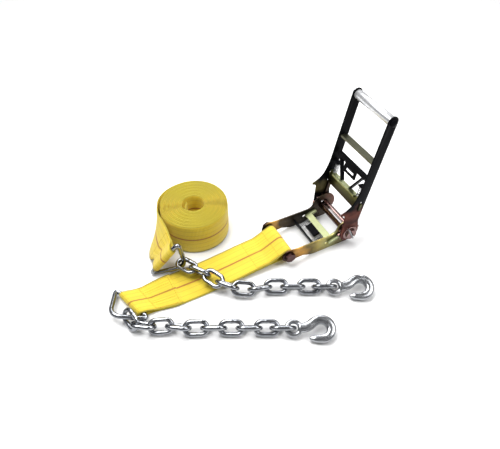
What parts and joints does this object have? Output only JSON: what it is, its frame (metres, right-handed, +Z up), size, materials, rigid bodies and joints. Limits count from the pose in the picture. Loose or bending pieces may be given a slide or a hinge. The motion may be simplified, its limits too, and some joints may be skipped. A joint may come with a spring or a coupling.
{
  "type": "ratchet strap with chain anchors",
  "caption": "Wide ratchet tie-down strap: a folding ratchet with a short strap, a rolled long strap, and a ring, chain and grab hook on each strap end.",
  "frame": {"origin": "centre of the outline on the floor, at floor level", "axes": "+X to the viewer's right along the chains, +Y away from the viewer, +Z up"},
  "size_m": [0.506, 0.3606, 0.29],
  "materials": {
    "bright_zinc": "bright zinc, polished",
    "gold_plate": "yellow chromate over pressed steel, shading from gold to olive",
    "spring_steel": "bare steel",
    "olive_plate": "pale green chromate over pressed steel",
    "black_plate": "glossy black chromate",
    "white_grip": "satin white",
    "yellow_webbing": "woven polyester webbing with a darker centre stripe"
  },
  "bodies": {
    "short_strap": {"short_strap": "yellow_webbing"},
    "base": {"base_plate_left": "gold_plate", "base_plate_right": "gold_plate", "anchor_bolt": "bright_zinc", "anchor_nut": "bright_zinc", "anchor_sleeve": "spring_steel", "lock_spring_bracket": "black_plate", "lock_spring_left": "spring_steel", "lock_spring_right": "spring_steel"},
    "lock": {"lock_pawl": "olive_plate", "lock_release_tab": "black_plate"},
    "spindle": {"spindle_half_front": "bright_zinc", "spindle_half_back": "bright_zinc", "spindle_pin_left": "spring_steel", "spindle_pin_right": "spring_steel", "ratchet_wheel_left": "bright_zinc", "ratchet_wheel_right": "bright_zinc", "spindle_washer_left": "bright_zinc", "spindle_washer_right": "bright_zinc"},
    "handle": {"handle_plate_left": "black_plate", "handle_plate_right": "black_plate", "handle_crossbar": "olive_plate", "grip_bolt": "black_plate", "grip_nut": "black_plate", "drive_spring_left": "spring_steel", "drive_spring_right": "spring_steel"},
    "drive": {"drive_pawl": "olive_plate", "finger_trigger": "black_plate"},
    "grip": {"grip_roller": "white_grip"},
    "left_ring": {"left_ring": "bright_zinc"},
    "long_strap": {"strap_roll": "yellow_webbing", "strap_tail": "yellow_webbing"},
    "right_ring": {"right_ring": "bright_zinc"},
    "left_link_01": {"left_chain_link_01": "bright_zinc"},
    "left_link_02": {"left_chain_link_02": "bright_zinc"},
    "left_link_03": {"left_chain_link_03": "bright_zinc"},
    "left_link_04": {"left_chain_link_04": "bright_zinc"},
    "left_link_05": {"left_chain_link_05": "bright_zinc"},
    "left_link_06": {"left_chain_link_06": "bright_zinc"},
    "left_link_07": {"left_chain_link_07": "bright_zinc"},
    "left_link_08": {"left_chain_link_08": "bright_zinc"},
    "left_link_09": {"left_chain_link_09": "bright_zinc"},
    "left_link_10": {"left_chain_link_10": "bright_zinc"},
    "left_hook": {"left_grab_hook": "bright_zinc"},
    "right_link_01": {"right_chain_link_01": "bright_zinc"},
    "right_link_02": {"right_chain_link_02": "bright_zinc"},
    "right_link_03": {"right_chain_link_03": "bright_zinc"},
    "right_link_04": {"right_chain_link_04": "bright_zinc"},
    "right_link_05": {"right_chain_link_05": "bright_zinc"},
    "right_link_06": {"right_chain_link_06": "bright_zinc"},
    "right_link_07": {"right_chain_link_07": "bright_zinc"},
    "right_link_08": {"right_chain_link_08": "bright_zinc"},
    "right_link_09": {"right_chain_link_09": "bright_zinc"},
    "right_link_10": {"right_chain_link_10": "bright_zinc"},
    "right_hook": {"right_grab_hook": "bright_zinc"}
  },
  "joints": [
    {"name": "ratchet_swing", "type": "hinge", "parent": "short_strap", "child": "base", "pos_m": [0.05758, 0.04136, 0.022], "axis": [0.4617, -0.887, 0], "range_deg": [0, 60]},
    {"name": "lock_pawl_slide", "type": "slide", "parent": "base", "child": "lock", "axis": [-0.8412, -0.4379, -0.3173], "range_m": [0, 0.005], "stiffness_N_per_m": 900, "springref_m": -0.004, "deforming": ["lock_spring_left", "lock_spring_right"]},
    {"name": "spindle_spin", "type": "hinge", "parent": "base", "child": "spindle", "pos_m": [0.17466, 0.10231, 0.034], "axis": [-0.4617, 0.887, 0], "continuous": true},
    {"name": "handle_swing", "type": "hinge", "parent": "base", "child": "handle", "pos_m": [0.17466, 0.10231, 0.034], "axis": [-0.4617, 0.887, 0], "range_deg": [-90, 75]},
    {"name": "drive_pawl_slide", "type": "slide", "parent": "handle", "child": "drive", "axis": [0.1768, 0.0921, 0.9799], "range_m": [-0.0034, 0.004], "stiffness_N_per_m": 700, "deforming": ["drive_spring_left", "drive_spring_right"]},
    {"name": "grip_spin", "type": "hinge", "parent": "handle", "child": "grip", "pos_m": [0.21887, 0.12532, 0.27898], "axis": [-0.4617, 0.887, 0], "continuous": true},
    {"name": "left_ring_swing", "type": "hinge", "parent": "short_strap", "child": "left_ring", "pos_m": [-0.21385, -0.09994, 0.0084], "axis": [-0.7373, 0.6756, 0], "range_deg": [0, 12]},
    {"name": "long_strap_lift", "type": "slide", "parent": "short_strap", "child": "long_strap", "axis": [0, 0, 1], "range_m": [0, 0.15]},
    {"name": "right_ring_swing", "type": "hinge", "parent": "long_strap", "child": "right_ring", "pos_m": [-0.16124, -0.02089, 0.041], "axis": [0.6198, 0.1192, 0.7756], "range_deg": [0, 12]},
    {"name": "left_link_01_swing", "type": "hinge", "parent": "left_ring", "child": "left_link_01", "pos_m": [-0.21919, -0.12498, 0.0145], "axis": [0, 0, 1], "range_deg": [-12, 0]},
    {"name": "left_link_02_swing", "type": "hinge", "parent": "left_link_01", "child": "left_link_02", "pos_m": [-0.20056, -0.14922, 0.01494], "axis": [0, 0, -1], "range_deg": [0, 12]},
    {"name": "left_link_03_swing", "type": "hinge", "parent": "left_link_02", "child": "left_link_03", "pos_m": [-0.17013, -0.15252, 0.01497], "axis": [-0.7373, 0.6756, 0], "range_deg": [-12, 0]},
    {"name": "left_link_04_swing", "type": "hinge", "parent": "left_link_03", "child": "left_link_04", "pos_m": [-0.13936, -0.15031, 0.01474], "axis": [0, 0, -1], "range_deg": [-3, 12]},
    {"name": "left_link_05_swing", "type": "hinge", "parent": "left_link_04", "child": "left_link_05", "pos_m": [-0.10885, -0.15493, 0.01429], "axis": [0, 0, 1], "range_deg": [-5, 3]},
    {"name": "left_link_06_swing", "type": "hinge", "parent": "left_link_05", "child": "left_link_06", "pos_m": [-0.07798, -0.15382, 0.0134], "axis": [0, 0, -1], "range_deg": [-3, 12]},
    {"name": "left_link_07_swing", "type": "hinge", "parent": "left_link_06", "child": "left_link_07", "pos_m": [-0.04708, -0.15383, 0.0134], "axis": [0, 0, 1], "range_deg": [-12, 3]},
    {"name": "left_link_08_swing", "type": "hinge", "parent": "left_link_07", "child": "left_link_08", "pos_m": [-0.01618, -0.15383, 0.0134], "axis": [0, 0, -1], "range_deg": [-3, 12]},
    {"name": "left_link_09_swing", "type": "hinge", "parent": "left_link_08", "child": "left_link_09", "pos_m": [0.01472, -0.15383, 0.0134], "axis": [0, 0, 1], "range_deg": [-12, 3]},
    {"name": "left_link_10_swing", "type": "hinge", "parent": "left_link_09", "child": "left_link_10", "pos_m": [0.04412, -0.15383, 0.0134], "axis": [0, 0, -1], "range_deg": [-3, 12]},
    {"name": "left_hook_swing", "type": "hinge", "parent": "left_link_10", "child": "left_hook", "pos_m": [0.07327, -0.15383, 0.0134], "axis": [0, 0, 1], "range_deg": [-10, 3]},
    {"name": "right_link_01_swing", "type": "hinge", "parent": "right_ring", "child": "right_link_01", "pos_m": [-0.12956, -0.01305, 0.01447], "axis": [0.6198, 0.1192, 0.7756], "range_deg": [-12, 0]},
    {"name": "right_link_02_swing", "type": "hinge", "parent": "right_link_01", "child": "right_link_02", "pos_m": [-0.10781, -0.0279, 0.02087], "axis": [-0.5075, -0.8616, 0], "range_deg": [0, 6]},
    {"name": "right_link_03_swing", "type": "hinge", "parent": "right_link_02", "child": "right_link_03", "pos_m": [-0.0802, -0.04173, 0.02141], "axis": [-0.5247, -0.8513, 0], "range_deg": [0, 8]},
    {"name": "right_link_04_swing", "type": "hinge", "parent": "right_link_03", "child": "right_link_04", "pos_m": [-0.05547, -0.06018, 0.02105], "axis": [-0.4773, -0.8788, 0], "range_deg": [0, 6]},
    {"name": "right_link_05_swing", "type": "hinge", "parent": "right_link_04", "child": "right_link_05", "pos_m": [-0.0266, -0.07092, 0.01868], "axis": [-0.191, -0.9816, 0], "range_deg": [0, 10]},
    {"name": "right_link_06_swing", "type": "hinge", "parent": "right_link_05", "child": "right_link_06", "pos_m": [0.00419, -0.07177, 0.01528], "axis": [0.1148, -0.9934, 0], "range_deg": [0, 10]},
    {"name": "right_link_07_swing", "type": "hinge", "parent": "right_link_06", "child": "right_link_07", "pos_m": [0.03392, -0.06383, 0.01281], "axis": [0.1284, -0.9917, 0], "range_deg": [0, 10]},
    {"name": "right_link_08_swing", "type": "hinge", "parent": "right_link_07", "child": "right_link_08", "pos_m": [0.06483, -0.06386, 0.0134], "axis": [0, -1, 0], "range_deg": [0, 10]},
    {"name": "right_link_09_swing", "type": "hinge", "parent": "right_link_08", "child": "right_link_09", "pos_m": [0.09573, -0.06386, 0.0134], "axis": [0, -1, 0], "range_deg": [0, 10]},
    {"name": "right_link_10_swing", "type": "hinge", "parent": "right_link_09", "child": "right_link_10", "pos_m": [0.12513, -0.06386, 0.0134], "axis": [0, -1, 0], "range_deg": [0, 10]},
    {"name": "right_hook_swing", "type": "hinge", "parent": "right_link_10", "child": "right_hook", "pos_m": [0.15428, -0.06386, 0.0134], "axis": [0, -1, 0], "range_deg": [0, 8]}
  ],
  "couplings": [
    {"joint": "left_link_03_swing", "follows": "left_ring_swing", "ratio": -1},
    {"joint": "right_link_01_swing", "follows": "right_ring_swing", "ratio": -1}
  ]
}
